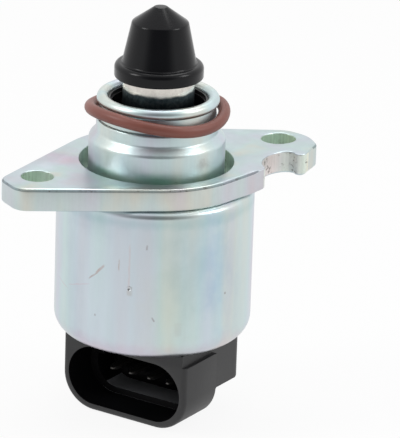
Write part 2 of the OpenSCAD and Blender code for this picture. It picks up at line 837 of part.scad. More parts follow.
mounting_flange();
motor_can();
nose_housing();
o_ring();
nose_guide();
pintle();
pintle_sleeve();
lead_screw();
pintle_spring();
key_plate();
front_end_plate();
bearing_outer_ring();
bearing_inner_ring();
bearing_balls();
bearing_cage();
rotor_magnet();
rotor_hub();
drive_nut();
thrust_washer();
rear_bush();
rear_end_plate();
stator_cup_front();
stator_plate_front();
stator_plate_rear();
stator_cup_rear();
bobbin_front();
bobbin_rear();
winding_front();
winding_rear();
terminal_1();
terminal_2();
terminal_3();
terminal_4();
connector_body();
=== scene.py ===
from math import acos, asin, atan2, cos, exp, pi, radians, sin, sqrt, tan

import bpy
import bmesh
from mathutils import Matrix, Vector, noise


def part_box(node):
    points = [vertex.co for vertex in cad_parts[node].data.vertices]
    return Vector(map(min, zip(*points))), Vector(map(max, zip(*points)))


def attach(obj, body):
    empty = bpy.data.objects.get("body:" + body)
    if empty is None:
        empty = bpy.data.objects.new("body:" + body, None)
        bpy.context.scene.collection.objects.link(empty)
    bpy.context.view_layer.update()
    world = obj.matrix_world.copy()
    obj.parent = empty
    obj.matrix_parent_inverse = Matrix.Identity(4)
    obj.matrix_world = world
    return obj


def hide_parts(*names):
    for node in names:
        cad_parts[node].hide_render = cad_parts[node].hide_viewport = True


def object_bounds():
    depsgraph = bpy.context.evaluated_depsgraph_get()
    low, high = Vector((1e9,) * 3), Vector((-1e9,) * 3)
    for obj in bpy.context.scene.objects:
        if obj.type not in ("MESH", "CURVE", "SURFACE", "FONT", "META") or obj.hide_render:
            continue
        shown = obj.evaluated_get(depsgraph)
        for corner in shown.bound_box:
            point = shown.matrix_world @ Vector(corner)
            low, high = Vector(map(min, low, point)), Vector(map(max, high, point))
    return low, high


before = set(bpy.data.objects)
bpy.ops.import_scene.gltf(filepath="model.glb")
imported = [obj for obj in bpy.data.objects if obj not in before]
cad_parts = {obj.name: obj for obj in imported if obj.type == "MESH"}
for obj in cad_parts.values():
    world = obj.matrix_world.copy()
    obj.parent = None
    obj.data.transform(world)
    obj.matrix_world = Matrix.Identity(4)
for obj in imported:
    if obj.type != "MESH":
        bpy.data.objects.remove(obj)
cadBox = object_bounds()

mm = 0.001
sharpAngle = radians(35)     # edges that turn more than this stay sharp in the shading
flatAngle = radians(0.5)     # faces that turn less than this become one


# Helpers for modelling

def deselectAll():
    if bpy.context.object and bpy.context.object.mode != "OBJECT":
        bpy.ops.object.mode_set(mode="OBJECT")
    bpy.ops.object.select_all(action="DESELECT")


def pick(piece):
    deselectAll()
    piece.select_set(True)
    bpy.context.view_layer.objects.active = piece


def editAll(piece=None):
    # into edit mode with everything selected
    if piece:
        pick(piece)
    bpy.ops.object.mode_set(mode="EDIT")
    bpy.ops.mesh.select_all(action="SELECT")


def selectEdges(piece, test):
    # in edit mode: selects the edges whose middle passes the test
    mesh = bmesh.from_edit_mesh(piece.data)
    bpy.ops.mesh.select_mode(type="EDGE")
    bpy.ops.mesh.select_all(action="DESELECT")
    for edge in mesh.edges:
        edge.select_set(test((edge.verts[0].co + edge.verts[1].co) / 2, edge))
    bmesh.update_edit_mesh(piece.data)


def isSharp(edge):
    return len(edge.link_faces) == 2 and edge.calc_face_angle(0) > sharpAngle


def bevelWhere(piece, test, width, segments=3):
    # rounds the sharp edges that pass the test
    pick(piece)
    bpy.ops.object.mode_set(mode="EDIT")
    selectEdges(piece, lambda mid, edge: isSharp(edge) and test(mid, edge))
    bpy.ops.mesh.bevel(offset=width * mm, segments=segments, profile=0.5, clamp_overlap=True)
    bpy.ops.object.mode_set(mode="OBJECT")


def paintWhere(piece, slotNumber, test):
    # gives the faces that pass the test another of the piece's materials
    for face in piece.data.polygons:
        if test(face.center, face.normal):
            face.material_index = slotNumber


def smoothed(piece):
    pick(piece)
    bpy.ops.object.shade_smooth_by_angle(angle=sharpAngle)


def arc(middle, radius, start, end, steps=8):
    # points of an arc in a profile, from one angle to the other in degrees
    turns = [radians(start + (end - start) * i / steps) for i in range(steps + 1)]
    return [(middle[0] + radius * cos(t), middle[1] + radius * sin(t)) for t in turns]


def closeProfile(piece):
    # joins the two loose ends of a profile with an edge
    bpy.ops.mesh.select_all(action="SELECT")
    bpy.ops.mesh.remove_doubles(threshold=0.0005 * mm)
    profile = bmesh.from_edit_mesh(piece.data)
    loose = [v for v in profile.verts if len(v.link_edges) == 1]
    if len(loose) == 2:
        bpy.ops.mesh.select_all(action="DESELECT")
        for v in loose:
            v.select_set(True)
        bmesh.update_edit_mesh(piece.data)
        bpy.ops.mesh.edge_face_add()


def turned(name, profile, steps=144, closed=True):
    # one vertex is extruded along the profile of (radius, height) in mm, then spun about the axis
    deselectAll()
    bpy.ops.mesh.primitive_plane_add(size=mm, location=(0, 0, 0))
    piece = bpy.context.object
    piece.name = name
    bpy.ops.object.mode_set(mode="EDIT")
    bpy.ops.mesh.select_mode(type="VERT")
    bpy.ops.mesh.select_all(action="SELECT")
    bpy.ops.mesh.merge(type="CENTER")
    last = Vector((profile[0][0] * mm, 0, profile[0][1] * mm))
    bpy.ops.transform.translate(value=last)
    for radius, height in profile[1:]:
        point = Vector((radius * mm, 0, height * mm))
        bpy.ops.mesh.extrude_region_move(TRANSFORM_OT_translate={"value": point - last})
        last = point
    if closed:
        closeProfile(piece)
    bpy.ops.mesh.select_all(action="SELECT")
    bpy.ops.mesh.spin(steps=steps, angle=2 * pi, center=(0, 0, 0), axis=(0, 0, 1))
    bpy.ops.mesh.select_all(action="SELECT")
    bpy.ops.mesh.remove_doubles(threshold=0.002 * mm)
    bpy.ops.mesh.normals_make_consistent(inside=False)
    bpy.ops.object.mode_set(mode="OBJECT")
    bpy.ops.object.shade_smooth_by_angle(angle=sharpAngle)
    return piece


def copyOf(node, name):
    # a merged copy of a CAD node with its flat faces in one piece
    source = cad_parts[node]
    piece = source.copy()
    piece.data = source.data.copy()
    piece.name = name
    piece.parent = None
    piece.matrix_world = Matrix.Identity(4)
    for key in list(piece.keys()):
        del piece[key]
    bpy.context.scene.collection.objects.link(piece)
    piece.hide_render = False
    piece.hide_viewport = False
    editAll(piece)
    bpy.ops.mesh.remove_doubles(threshold=0.001 * mm)
    bpy.ops.mesh.dissolve_limited(angle_limit=flatAngle)
    bpy.ops.object.mode_set(mode="OBJECT")
    return piece


def cutWith(piece, cutter):
    pick(piece)
    cut = piece.modifiers.new("cut", "BOOLEAN")
    cut.operation = "DIFFERENCE"
    cut.solver = "EXACT"
    cut.object = cutter
    bpy.ops.object.modifier_apply(modifier=cut.name)
    bpy.data.objects.remove(cutter, do_unlink=True)


def finishPiece(piece, materials, body, slot, *nodes):
    # materials are added after those that a copy brought along are gone
    kept = [face.material_index for face in piece.data.polygons]
    piece.data.materials.clear()
    for material in materials:
        piece.data.materials.append(material)
    for face, number in zip(piece.data.polygons, kept):
        face.material_index = min(number, len(materials) - 1)
    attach(piece, body)
    if nodes:
        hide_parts(*nodes)


# Helpers for materials

def feed(tree, node, values):
    # an input gets a constant, or a link where the value is another node's output
    for entry, value in values.items():
        if isinstance(value, bpy.types.NodeSocket):
            tree.links.new(value, node.inputs[entry])
        else:
            node.inputs[entry].default_value = value
    return node


def addNode(tree, kind, values=(), **settings):
    node = tree.nodes.new("ShaderNode" + kind)
    for name, setting in settings.items():
        setattr(node, name, setting)
    return feed(tree, node, dict(values))


def newGroup(name, inputs, outputs):
    group = bpy.data.node_groups.new(name, "ShaderNodeTree")
    for label, kind, value in inputs:
        socket = group.interface.new_socket(name=label, in_out="INPUT", socket_type=kind)
        socket.default_value = value
    for label, kind in outputs:
        group.interface.new_socket(name=label, in_out="OUTPUT", socket_type=kind)
    return group, group.nodes.new("NodeGroupInput").outputs, group.nodes.new("NodeGroupOutput")


def newMaterial(name):
    # the material, its tree, its shader and the object coordinates
    material = bpy.data.materials.new(name)
    material.use_nodes = True
    tree = material.node_tree
    return material, tree, tree.nodes["Principled BSDF"], addNode(tree, "TexCoord").outputs["Object"]


def mapped(tree, vector, location=(0, 0, 0), rotation=(0, 0, 0), scale=(1, 1, 1), kind="POINT"):
    values = {"Vector": vector, "Location": location, "Rotation": rotation, "Scale": scale}
    return addNode(tree, "Mapping", values, vector_type=kind).outputs["Vector"]


def noiseAt(tree, vector, scale, detail, roughness=0.6):
    values = {"Vector": vector, "Scale": scale, "Detail": detail, "Roughness": roughness}
    return addNode(tree, "TexNoise", values).outputs["Fac"]


def ramped(tree, factor, *stops):
    ramp = addNode(tree, "ValToRGB", {"Fac": factor})
    elements = ramp.color_ramp.elements
    while len(elements) < len(stops):
        elements.new(0.5)
    for element, (place, colour) in zip(elements, stops):
        element.position = place
        element.color = (*colour, 1)
    return ramp.outputs["Color"]


def mixed(tree, factor, first, second, kind="MIX"):
    values = {"Factor": factor, "A": first, "B": second}
    return addNode(tree, "Mix", values, data_type="RGBA", blend_type=kind).outputs["Result"]


def ranged(tree, value, fromRange, toRange, kind="LINEAR"):
    values = {"Value": value, "From Min": fromRange[0], "From Max": fromRange[1],
              "To Min": toRange[0], "To Max": toRange[1]}
    return addNode(tree, "MapRange", values, interpolation_type=kind).outputs["Result"]


def calc(tree, kind, *values):
    return addNode(tree, "Math", dict(enumerate(values)), operation=kind).outputs["Value"]


def bumped(tree, height, strength, depth, normal=None, invert=False):
    values = {"Height": height, "Strength": strength, "Distance": depth * mm}
    if normal is not None:
        values["Normal"] = normal
    return addNode(tree, "Bump", values, invert=invert).outputs["Normal"]


black, white = (0, 0, 0), (1, 1, 1)
usualDrift = 0.35     # stretch of the zinc film's drifts along the axis


# Shader groups and materials

def makeZincFilm():
    # the uneven clear film on zinc: pale blue with drifts of pink, green and straw
    group, given, end = newGroup("zincFilm", [
        ("Coordinates", "NodeSocketVector", (0, 0, 0)),
        ("Drift", "NodeSocketFloat", 0.5),
        ("Satin", "NodeSocketFloat", 0.24),
        ("Tint", "NodeSocketColor", (0.62, 0.71, 0.72, 1)),
    ], [("Colour", "NodeSocketColor"), ("Roughness", "NodeSocketFloat"), ("Height", "NodeSocketFloat")])
    drift = noiseAt(group, mapped(group, given["Coordinates"], scale=(1, 1, usualDrift)), 95, 2.5, 0.55)
    hues = ramped(group, drift, (0.30, (0.93, 0.80, 0.87)), (0.42, (0.86, 0.92, 1.0)),
                  (0.52, (0.80, 1.0, 0.95)), (0.62, (1.0, 0.99, 0.82)), (0.75, (0.98, 0.84, 0.86)))
    tinted = mixed(group, given["Drift"], given["Tint"], hues, "MULTIPLY")
    cloud = noiseAt(group, given["Coordinates"], 420, 4)
    clouded = mixed(group, 1, tinted, ramped(group, cloud, (0.3, (0.93, 0.93, 0.93)), (0.7, white)),
                    "MULTIPLY")
    dullest = calc(group, "ADD", given["Satin"], 0.14)
    feed(group, end, {"Colour": clouded, "Height": cloud,
                      "Roughness": ranged(group, cloud, (0, 1), (given["Satin"], dullest))})
    return group


def makeSurfaceMark():
    # mask of one thin mark on a round wall: x outwards, y across the mark, z along it
    group, given, end = newGroup("surfaceMark", [
        ("Coordinates", "NodeSocketVector", (0, 0, 0)),
        ("Half Width", "NodeSocketFloat", 0.1 * mm),
        ("Half Length", "NodeSocketFloat", 1 * mm),
        ("Strength", "NodeSocketFloat", 1.0),
    ], [("Mask", "NodeSocketFloat")])

    def do(kind, *values):
        return calc(group, kind, *values)

    wobble = noiseAt(group, given["Coordinates"], 900, 2, 0.5)
    split = addNode(group, "SeparateXYZ", {"Vector": given["Coordinates"]}).outputs
    sway = do("MULTIPLY", do("SUBTRACT", wobble, 0.5), 0.25 * mm)
    across = do("ABSOLUTE", do("ADD", split["Y"], sway))
    along = do("ABSOLUTE", split["Z"])
    sides, ends = [do("SUBTRACT", 1, do("SMOOTH_MIN", do("DIVIDE", distance, given[half]), 1))
                   for distance, half in ((across, "Half Width"), (along, "Half Length"))]
    body = do("MULTIPLY", do("MINIMUM", do("MULTIPLY", sides, 2.2), 1),
              do("MINIMUM", do("MULTIPLY", ends, 5), 1))
    front = do("GREATER_THAN", split["X"], 0)
    broken = do("ADD", do("MULTIPLY", wobble, 0.9), 0.35)
    mask = do("MULTIPLY", do("MULTIPLY", body, do("MULTIPLY", front, broken)), given["Strength"])
    feed(group, end, {"Mask": do("MINIMUM", do("MAXIMUM", mask, 0), 1)})
    return group


zincFilm = makeZincFilm()
surfaceMark = makeSurfaceMark()


def addLines(tree, place, colour, normal, strength):
    # fine lines along the axis, as a drawing die or a punch leaves them
    fine = noiseAt(tree, mapped(tree, place, scale=(1, 1, 0.05)), 2600, 3)
    shades = ramped(tree, fine, (0.32, (1 - strength,) * 3), (0.62, white))
    return mixed(tree, 1, colour, shades, "MULTIPLY"), bumped(tree, fine, strength, 0.05, normal)


def addStains(tree, place, colour, amount):
    # small dark stains in broken patches
    where = ramped(tree, noiseAt(tree, place, 330, 1, 0.5), (0.50, black), (0.62, white))
    dots = ramped(tree, noiseAt(tree, place, 1500, 3, 0.7), (0.53, black), (0.6, white))
    mask = calc(tree, "MULTIPLY", calc(tree, "MULTIPLY", where, dots), amount)
    return mixed(tree, mask, colour, (0.12, 0.10, 0.085, 1))


def addPatch(tree, place, colour, patch):
    # a soft cloudy patch of another tint round a place; flat directions are left out of its reach
    flat, reach = patch.get("flat", (1, 1, 1)), patch["reach"] * mm
    middle = Vector([a * b for a, b in zip(patch["at"], flat)]) * mm
    scaled = addNode(tree, "VectorMath", {0: place, 1: flat}, operation="MULTIPLY").outputs["Vector"]
    away = addNode(tree, "VectorMath", {0: scaled, 1: middle}, operation="DISTANCE").outputs["Value"]
    ragged = calc(tree, "MULTIPLY_ADD", noiseAt(tree, place, patch.get("cloud", 260), 3), -reach, away)
    mask = ranged(tree, ragged, (reach / 2, -reach / 2), (0, patch["strength"]), "SMOOTHSTEP")
    return mixed(tree, mask, colour, (*patch["tint"], 1), "MULTIPLY")


def addMark(tree, place, colour, normal, mark):
    turn = (radians(mark.get("lean", 0)), 0, radians(mark["azimuth"]))
    centre = mapped(tree, place, (0, 0, mark["height"] * mm), turn, kind="TEXTURE")
    mask = addNode(tree, "Group", {
        "Coordinates": centre, "Half Width": mark["width"] / 2 * mm,
        "Half Length": mark["length"] / 2 * mm, "Strength": mark.get("strength", 0.7),
    }, node_tree=surfaceMark).outputs["Mask"]
    marked = mixed(tree, mask, colour, (*mark.get("colour", (0.25, 0.2, 0.2)), 1))
    return marked, bumped(tree, mask, 0.5, mark.get("depth", 0.03), normal, invert=True)


def makeZinc(name, tint, drift, turn=0.0, along=usualDrift, marks=(), lines=0.0, stains=0.0,
             satin=0.24, patches=(), metallic=1.0):
    # zinc plate; along stretches the drifts, lines are fine marks along the axis
    material, tree, shader, place = newMaterial(name)
    centre = mapped(tree, place, rotation=(0, 0, turn), scale=(1, 1, along / usualDrift))
    film = addNode(tree, "Group", {"Coordinates": centre, "Drift": drift, "Satin": satin,
                                   "Tint": (*tint, 1)}, node_tree=zincFilm).outputs
    colour = film["Colour"]
    normal = bumped(tree, film["Height"], 0.05, 0.02)
    if lines:
        colour, normal = addLines(tree, place, colour, normal, lines)
    if stains:
        colour = addStains(tree, place, colour, stains)
    for patch in patches:
        colour = addPatch(tree, place, colour, patch)
    for mark in marks:
        colour, normal = addMark(tree, place, colour, normal, mark)
    feed(tree, shader, {"Base Color": colour, "Normal": normal, "Metallic": metallic,
                        "Roughness": film["Roughness"]})
    return material


pinkFilm, strawFilm = (1.0, 0.76, 0.84), (1.0, 0.95, 0.72)
# the teal tint is a painted reflection, used low on the spigot
blueFilm, paintedTealReflection = (0.86, 0.9, 1.0), (0.62, 0.9, 0.8)

# at and reach in mm; flat is a share per direction, and 0 leaves that direction out
canPatches = [
    {"at": (-14.6, -9.6, -18), "reach": 9, "flat": (1, 1, 0.35), "strength": 0.5, "tint": pinkFilm},
    {"at": (14.6, 9.6, -18), "reach": 6, "flat": (1, 1, 0.35), "strength": 0.5, "tint": pinkFilm},
    {"at": (0, 0, -30.8), "reach": 3.2, "flat": (0, 0, 1), "strength": 0.55, "tint": pinkFilm},
    {"at": (12, -12.5, -22), "reach": 8, "flat": (1, 1, 0.4), "strength": 0.3, "tint": strawFilm},
    {"at": (16.5, -3, -16), "reach": 6, "flat": (1, 1, 0.3), "strength": 0.7, "tint": blueFilm},
    {"at": (15, -9, -14), "reach": 9, "flat": (1, 1, 0.6), "strength": 0.7, "tint": (0.76, 0.85, 0.94)},
    # painted shade: a grey patch darkens the can's front just under the flange, for the flange's shadow
    # and reflection
    {"at": (0, -17.4, -6.5), "reach": 8, "flat": (1, 1, 1.7), "strength": 0.6,
     "tint": (0.78, 0.8, 0.84)},
    {"at": (-6, -16.5, -20), "reach": 3.4, "flat": (1, 1, 0.12), "strength": 0.4,
     "tint": (0.8, 0.83, 0.86)},
    # painted shade: a thin grey band darkens the top of the can all round under the flange, for its
    # shadow and reflection
    {"at": (0, 0, -6.2), "reach": 1.5, "flat": (0, 0, 1), "strength": 0.5, "tint": (0.72, 0.84, 0.84)},
]
flangePatches = [
    {"at": (-13.5, -9.5, 0), "reach": 6.5, "strength": 0.75, "tint": pinkFilm},
    {"at": (-4, -16.5, 0), "reach": 4, "strength": 0.5, "tint": pinkFilm},
    {"at": (9, 9, 0), "reach": 6, "strength": 0.6, "tint": (0.84, 0.86, 0.9)},
    {"at": (2, -15.8, 0), "reach": 3, "strength": 0.5, "tint": (0.72, 0.8, 0.82)},
    {"at": (-10, -26, 0), "reach": 4, "strength": 0.4, "tint": (0.85, 0.83, 0.8)},
]
nosePatches = [
    {"at": (-9.5, -7, 2), "reach": 7, "strength": 0.6, "tint": pinkFilm},
    {"at": (-10, -6, 7), "reach": 5, "strength": 0.5, "tint": pinkFilm},
    # painted reflection: teal bands low on the spigot stand in for the green hole walls that it
    # reflects
    {"at": (6, -10, 0.2), "reach": 6, "flat": (1, 1, 4), "strength": 0.8, "tint": paintedTealReflection},
    {"at": (-3, -11.5, 0.2), "reach": 4, "flat": (1, 1, 4), "strength": 0.6, "tint": paintedTealReflection},
    {"at": (11.5, -3, 2.2), "reach": 2.2, "cloud": 900, "strength": 0.7, "tint": (0.6, 0.55, 0.55)},
]
canMarks = [
    # a score line down to the dimple, painted shade under the dimple, scratches, a nick and specks
    {"azimuth": -70.4, "height": -14.2, "width": 0.42, "length": 8.0, "strength": 0.5,
     "colour": (0.60, 0.5, 0.5)},
    # painted shade: a brownish smudge just under the dimple stands in for the dimple's shadow
    {"azimuth": -69.9, "height": -18.6, "width": 1.1, "length": 1.8, "strength": 0.35,
     "colour": (0.42, 0.36, 0.28)},
    {"azimuth": -88.6, "height": -15.5, "lean": -42, "width": 0.5, "length": 2.4, "strength": 0.7,
     "colour": (0.45, 0.3, 0.28)},
    {"azimuth": -93.4, "height": -17.0, "lean": -50, "width": 0.3, "length": 2.2, "strength": 0.7,
     "colour": (0.4, 0.28, 0.27)},
    {"azimuth": -76.6, "height": -14.0, "width": 0.3, "length": 2.0, "strength": 0.6,
     "colour": (0.45, 0.36, 0.32)},
    {"azimuth": -105, "height": -19.6, "lean": -72, "width": 0.25, "length": 5.5, "strength": 0.4,
     "colour": (0.6, 0.4, 0.45)},
    {"azimuth": -122, "height": -20.9, "lean": 78, "width": 0.25, "length": 4.0, "strength": 0.4,
     "colour": (0.6, 0.4, 0.45)},
    {"azimuth": -60.5, "height": -10.3, "width": 0.35, "length": 0.9, "strength": 0.5},
    {"azimuth": -10.3, "height": -20.3, "width": 0.4, "length": 0.4, "strength": 0.7},
    {"azimuth": -91.3, "height": -24.2, "width": 0.4, "length": 0.4, "strength": 0.5},
    {"azimuth": -56.0, "height": -23.6, "lean": 35, "width": 0.3, "length": 0.9, "strength": 0.6},
    {"azimuth": -41.4, "height": -25.6, "width": 1.6, "length": 2.6, "strength": 0.2,
     "colour": (0.4, 0.38, 0.36)},
    {"azimuth": 60, "height": -17.0, "lean": 12, "width": 0.3, "length": 3.6, "strength": 0.4},
    {"azimuth": 118, "height": -11.0, "lean": -50, "width": 0.25, "length": 2.6, "strength": 0.5},
    {"azimuth": 165, "height": -22.0, "width": 0.4, "length": 0.5, "strength": 0.5},
]


def makePlain(name, colour, roughness, metallic=0.0, grain=0.0, specular=0.5):
    # a colour with faint clouding, and a fine moulded or ground grain
    material, tree, shader, place = newMaterial(name)
    cloud = noiseAt(tree, place, 160, 4)
    dark, light = [tuple(min(1, c * share) for c in colour) for share in (0.92, 1.08)]
    feed(tree, shader, {
        "Base Color": ramped(tree, cloud, (0.35, dark), (0.65, light)),
        "Roughness": ranged(tree, cloud, (0, 1), (roughness * 0.88, min(1, roughness * 1.12))),
        "Metallic": metallic, "Specular IOR Level": specular})
    if grain:
        feed(tree, shader, {"Normal": bumped(tree, noiseAt(tree, place, 900, 3), grain, 0.03)})
    return material


def makeSleeveMetal():
    # bright tube whose lower part is dark, with a ragged edge
    material, tree, shader, place = newMaterial("sleeveMetal")
    height = addNode(tree, "SeparateXYZ", {"Vector": place}).outputs["Z"]
    ragged = noiseAt(tree, place, 520, 4, 0.65)
    low, high, uneven = 13.55 * mm, 14.1 * mm, 0.9 * mm     # where the dark lower part ends
    sway = calc(tree, "MULTIPLY_ADD", ragged, uneven, height)
    edge = ranged(tree, sway, (low, high), (0, 1), "SMOOTHSTEP")
    dark = ramped(tree, noiseAt(tree, place, 1400, 3),
                  (0.35, (0.028, 0.042, 0.05)), (0.65, (0.075, 0.092, 0.10)))
    bright = ramped(tree, ragged, (0.3, (0.60, 0.56, 0.52)), (0.7, (0.74, 0.71, 0.66)))
    feed(tree, shader, {"Base Color": mixed(tree, edge, dark, bright), "Metallic": 1,
                        "Roughness": ranged(tree, edge, (0, 1), (0.42, 0.24))})
    return material


zincCan = makeZinc("zincCan", (0.645, 0.705, 0.735), 0.5, along=0.07, marks=canMarks, satin=0.25,
                   patches=canPatches)
zincFlange = makeZinc("zincFlange", (0.59, 0.635, 0.65), 0.6, 0.6, satin=0.26, patches=flangePatches)
zincSheared = makeZinc("zincSheared", (0.66, 0.67, 0.68), 0.6, 0.6, lines=0.03, satin=0.3)
zincHole = makeZinc("zincHole", (0.62, 0.74, 0.62), 0.4, 0.9, lines=0.2, stains=0.4, satin=0.4,
                    metallic=0.45)
# a darker copy of the zinc for the rolled front edge: painted shade for the dark band along it, with
# real stains
zincRolledStainsAndShade = makeZinc("zincRolledStainsAndShade", (0.42, 0.45, 0.47), 0.6, 0.6, lines=0.1, stains=0.6, satin=0.7)
zincNotch = makeZinc("zincNotch", (0.88, 0.86, 0.8), 0.6, 0.2, lines=0.1, stains=0.9, satin=0.4,
                     metallic=0.6)
zincNose = makeZinc("zincNose", (0.67, 0.715, 0.745), 0.6, 1.4, along=0.15, lines=0.03, satin=0.3,
                    patches=nosePatches)
sealRubber = makePlain("sealRubber", (0.20, 0.062, 0.045), 0.42, grain=0.15)
pintleBlack = makePlain("pintleBlack", (0.0028, 0.003, 0.0042), 0.2, grain=0.03, specular=0.23)
guideBlack = makePlain("guideBlack", (0.006, 0.006, 0.007), 0.4)
sleeveMetal = makeSleeveMetal()
connectorGrey = makePlain("connectorGrey", (0.025, 0.025, 0.026), 0.52, grain=0.35)
# the connector's plastic painted near-black inside its cavity: painted shade
cavityPaintedShade = makePlain("cavityPaintedShade", (0.003, 0.003, 0.0035), 0.5, grain=0.1, specular=0.08)
# the same plastic painted lighter on the key floor: painted light where the ledge catches light
keyLedgePaintedLight = makePlain("keyLedgePaintedLight", (0.11, 0.113, 0.12), 0.35)
# tin darkened far below its own colour: painted shade of the deep cavity, so the blades hardly show
terminalTinPaintedShade = makePlain("terminalTinPaintedShade", (0.13, 0.125, 0.12), 0.48, metallic=1)
groundSteel = makePlain("groundSteel", (0.5, 0.5, 0.5), 0.28, metallic=1)
pressedIron = makePlain("pressedIron", (0.42, 0.42, 0.41), 0.42, metallic=1, grain=0.2)
springWire = makePlain("springWire", (0.55, 0.55, 0.55), 0.25, metallic=1)
nutBrass = makePlain("nutBrass", (0.62, 0.43, 0.16), 0.3, metallic=1)
bushBronze = makePlain("bushBronze", (0.42, 0.26, 0.13), 0.5, metallic=1, grain=0.4)
magnetGrey = makePlain("magnetGrey", (0.06, 0.06, 0.065), 0.6, grain=0.4)
naturalPlastic = makePlain("naturalPlastic", (0.55, 0.52, 0.42), 0.45)
coilCopper = makePlain("coilCopper", (0.48, 0.17, 0.055), 0.3, metallic=1)
print("materials made")


# The CAD nodes that keep their own mesh

nodeMaterials = {
    "nose_guide": guideBlack, "key_plate": groundSteel, "front_end_plate": groundSteel,
    "bearing_outer_ring": groundSteel, "bearing_inner_ring": groundSteel,
    "bearing_balls": groundSteel, "bearing_cage": nutBrass, "rotor_magnet": magnetGrey,
    "rotor_hub": naturalPlastic, "drive_nut": nutBrass, "thrust_washer": groundSteel,
    "rear_bush": bushBronze, "rear_end_plate": naturalPlastic, "stator_cup_front": pressedIron,
    "stator_plate_front": pressedIron, "stator_plate_rear": pressedIron,
    "stator_cup_rear": pressedIron, "bobbin_front": naturalPlastic, "bobbin_rear": naturalPlastic,
    "winding_front": coilCopper, "winding_rear": coilCopper, "mounting_flange": zincFlange,
    "motor_can": zincCan, "nose_housing": zincNose, "o_ring": sealRubber, "pintle": pintleBlack,
    "pintle_sleeve": sleeveMetal, "lead_screw": groundSteel, "pintle_spring": springWire,
    "connector_body": connectorGrey, "terminal_1": terminalTinPaintedShade, "terminal_2": terminalTinPaintedShade,
    "terminal_3": terminalTinPaintedShade, "terminal_4": terminalTinPaintedShade,
}


def dressNodes():
    for node, material in nodeMaterials.items():
        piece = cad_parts[node]
        piece.data.materials.clear()
        piece.data.materials.append(material)
        smoothed(piece)
    deselectAll()
    print("CAD nodes dressed")


dressNodes()


# Motor can

motorCan = {
    "radius": 17.5, "wall": 0.8, "top": -4.1, "floor": -31.9,
    "floorEdge": 3.8,      # outside radius where the wall turns into the floor
    "topEdge": 1.2, "lip": 1.9, "lipEdge": 0.15, "lipUnderEdge": 0.12,
    "window": ((0, 6.4, -31.5), (16.2, 4.2, 3)),
    "dimple": {"azimuth": -70.1, "height": -18.11, "ball": 0.62, "depth": 0.2},
}


def roundPlace(azimuth, radius, height):
    return Vector((radius * cos(radians(azimuth)), radius * sin(radians(azimuth)), height)) * mm


def makeCan():
    c = motorCan
    edge = (c["radius"] - c["floorEdge"], c["floor"] + c["floorEdge"])
    inside = c["radius"] - c["wall"]
    floorInside = c["floor"] + c["wall"]
    lip = c["radius"] - c["lip"]
    lipUnder, lipRound, chamfer = c["top"] - c["wall"], c["lipEdge"], c["lipUnderEdge"]
    profile = [(0, floorInside), (edge[0], floorInside)]
    profile += arc(edge, c["floorEdge"] - c["wall"], 270, 360)[1:]
    profile += [(inside, lipUnder), (lip + chamfer, lipUnder), (lip, lipUnder + chamfer)]
    profile += arc((lip + lipRound, c["top"] - lipRound), lipRound, 180, 90, 3)
    profile += arc((c["radius"] - c["topEdge"], c["top"] - c["topEdge"]), c["topEdge"], 90, 0)
    profile += arc(edge, c["floorEdge"], 0, -90, 12)
    profile += [(0, c["floor"])]
    can = turned("drawnCan", profile, steps=180, closed=False)
    place, size = c["window"]
    deselectAll()
    bpy.ops.mesh.primitive_cube_add(size=1, location=Vector(place) * mm)
    window = bpy.context.object
    window.dimensions = Vector(size) * mm
    bpy.ops.object.transform_apply(location=True, scale=True)
    cutWith(can, window)
    d = c["dimple"]
    deselectAll()
    out = c["radius"] + d["ball"] - d["depth"]
    bpy.ops.mesh.primitive_uv_sphere_add(segments=20, ring_count=12, radius=d["ball"] * mm,
                                         location=roundPlace(d["azimuth"], out, d["height"]))
    ball = bpy.context.object
    bpy.ops.object.transform_apply(location=True)
    cutWith(can, ball)
    smoothed(can)
    finishPiece(can, [zincCan], "housing", "zinc_plate", "motor_can")


makeCan()
print("can made")


# Mounting flange

flangePlate = {
    "screwLine": 63, "lineOffset": 0.6, "thickness": 4.1,
    # circles (x, y, radius) that the outline runs round like a belt, x along the line of the screw
    # holes; it runs the other way round those with a negative radius
    "outline": ((25.3, 0, 5.2), (0, 0, 17.1), (-26.5, 0.3, 3.2), (-26.5, -2.6, 3.2), (0, 0, 17.1)),
    "notch": (22, -13.5, 6.9), "notchEdge": 0.8, "notchFillet": 1.7, "notchWall": 23.9,
    "ear": ((24.9, -8.2, 1.2), (27.6, -3.6, 3), (24.6, -1.5, 6.4)),
    "holes": ((-23.3, 0, 2.85), (25, 0, 2.85), (25.6, 0, 2.85)), "noseHole": 13.65,
    "rolledEdge": 0.65, "underEdge": 0.35, "holeEdge": 0.22,
    # near the notch the rolled edge is sharper and the lower edge softer: shares of their
    # widths, and how far from the notch's wall they hold and then fade out
    "notchRoll": 0.35, "notchUnder": 2.0, "notchHold": 0.6, "notchFade": 2.5,
    # how far the materials reach: hole walls, past the screw holes, notch wall, rolled edge (darker
    # zinc as painted shade)
    "holeReach": 14, "screwReach": 0.6, "notchReach": 7.4, "rolledFrom": 9,
    "steps": (4, 1.2),     # of the outline: degrees in the rounds and mm between them
}


def onScrewLine(along, across):
    turn = radians(flangePlate["screwLine"])
    across += flangePlate["lineOffset"]
    return Vector((along * cos(turn) - across * sin(turn),
                   along * sin(turn) + across * cos(turn), 0)) * mm


def notchRounds():
    # the notch, and the small rounds at its two ends
    f = flangePlate
    x, y, radius = f["notch"]
    small, fillet, broad = f["notchEdge"], f["notchFillet"], f["outline"][1][2]
    earX, earY, earRadius = f["ear"][0]
    # out leads from the plate to the straight side that the notch cuts, on leads along it
    lean = atan2(earY, earX) - acos((broad - earRadius) / Vector((earX, earY)).length)
    out, on = Vector((cos(lean), sin(lean))), Vector((-sin(lean), cos(lean)))
    edge, middle = broad - small, Vector((x, y))
    run = middle.dot(on) - sqrt((radius + small) ** 2 - (middle.dot(out) - edge) ** 2)
    first = out * edge + on * run
    last = f["notchWall"] - fillet
    return ((first.x, first.y, small), (x, y, -radius),
            (last, y + sqrt((radius - fillet) ** 2 - (last - x) ** 2), -fillet))


